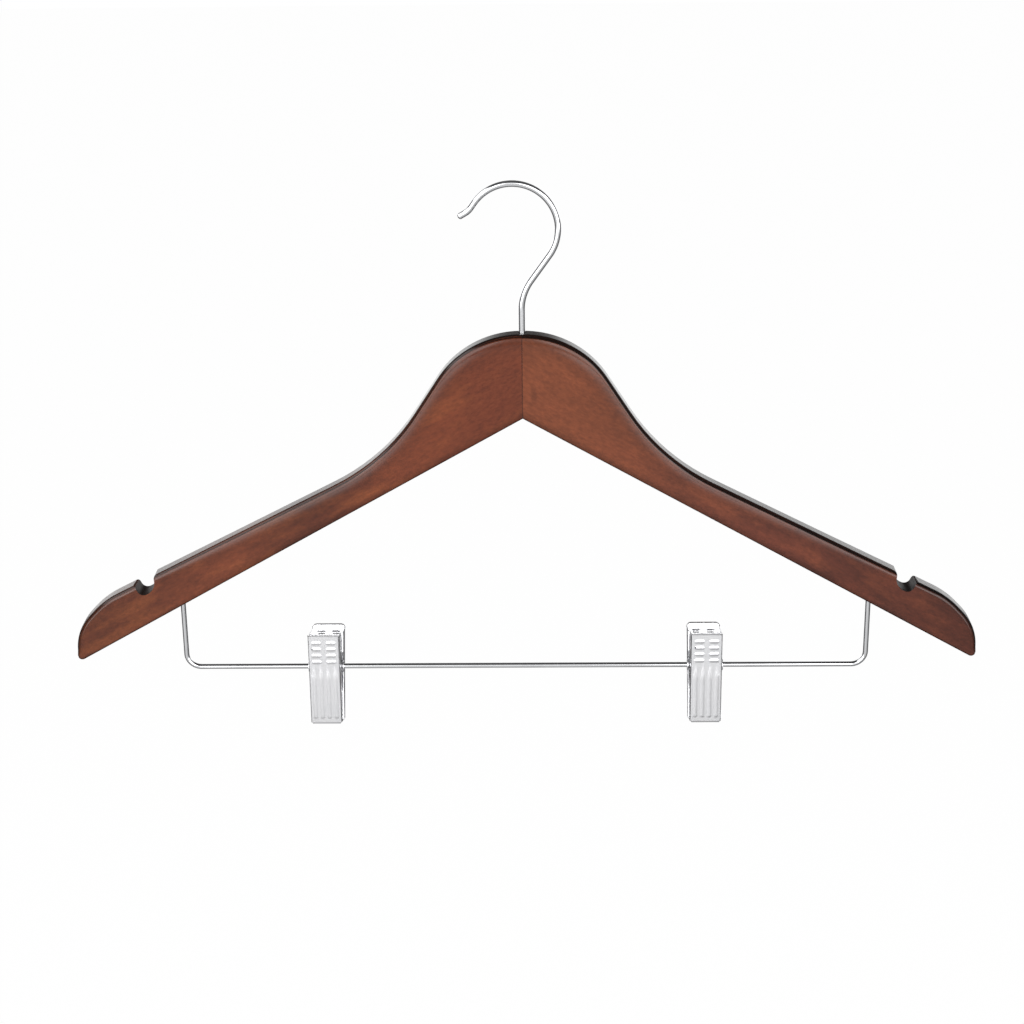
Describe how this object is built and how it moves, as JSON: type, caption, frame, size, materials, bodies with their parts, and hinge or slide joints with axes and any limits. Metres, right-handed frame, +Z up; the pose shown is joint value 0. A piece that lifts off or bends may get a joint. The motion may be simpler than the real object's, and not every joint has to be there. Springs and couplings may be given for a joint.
{
  "type": "skirt hanger",
  "caption": "Wooden clothes hanger with a swivel wire hook, notched shoulders and a drop bar that carries sliding sprung clips for skirts or trousers.",
  "frame": {"origin": "where the hook sits on its rail: on the hook's turning axis, at the underside of its bow", "axes": "+X along the hanger's width to the right, +Y through its thickness to the back, +Z up"},
  "size_m": [0.445, 0.0294, 0.2727],
  "materials": {
    "wood": "walnut stain, satin lacquer",
    "key_wood": "bare beech",
    "bush_steel": "plain turned steel",
    "wire_chrome": "polished chrome plate",
    "clip_plating": "bright nickel plate",
    "spring_steel": "bright spring wire",
    "jaw_pad": "matt soft vinyl"
  },
  "bodies": {
    "hook": {"hook": "wire_chrome"},
    "frame": {"left_arm": "wood", "right_arm": "wood", "joint_key": "key_wood", "hook_bush": "bush_steel", "drop_bar": "wire_chrome"},
    "left_slider": {"left_pivot_tube": "clip_plating"},
    "left_clip_rear": {"left_rear_shell": "clip_plating", "left_rear_pad": "jaw_pad", "left_spring": "spring_steel"},
    "left_clip_front": {"left_front_shell": "clip_plating", "left_front_pad": "jaw_pad"},
    "right_slider": {"right_pivot_tube": "clip_plating"},
    "right_clip_rear": {"right_rear_shell": "clip_plating", "right_rear_pad": "jaw_pad", "right_spring": "spring_steel"},
    "right_clip_front": {"right_front_shell": "clip_plating", "right_front_pad": "jaw_pad"}
  },
  "joints": [
    {"name": "hook_swivel", "type": "hinge", "parent": "hook", "child": "frame", "pos_m": [0, 0, -0.06865], "axis": [0, 0, 1], "continuous": true},
    {"name": "left_clip_slide", "type": "slide", "parent": "frame", "child": "left_slider", "axis": [1, 0, 0], "range_m": [-0.0535, 0.0895]},
    {"name": "left_clip_swing", "type": "hinge", "parent": "left_slider", "child": "left_clip_rear", "pos_m": [-0.0993, 0, -0.24035], "axis": [1, 0, 0], "continuous": true},
    {"name": "left_clip_squeeze", "type": "hinge", "parent": "left_clip_rear", "child": "left_clip_front", "pos_m": [-0.0993, 0, -0.24035], "axis": [-1, 0, 0], "range_deg": [0, 45], "stiffness_Nm_per_rad": 0.12, "springref_deg": -57.3, "deforming": ["left_spring"]},
    {"name": "right_clip_slide", "type": "slide", "parent": "frame", "child": "right_slider", "axis": [1, 0, 0], "range_m": [-0.0797, 0.0633]},
    {"name": "right_clip_swing", "type": "hinge", "parent": "right_slider", "child": "right_clip_rear", "pos_m": [0.0895, 0, -0.24035], "axis": [1, 0, 0], "continuous": true},
    {"name": "right_clip_squeeze", "type": "hinge", "parent": "right_clip_rear", "child": "right_clip_front", "pos_m": [0.0895, 0, -0.24035], "axis": [-1, 0, 0], "range_deg": [0, 45], "stiffness_Nm_per_rad": 0.12, "springref_deg": -57.3, "deforming": ["right_spring"]}
  ]
}
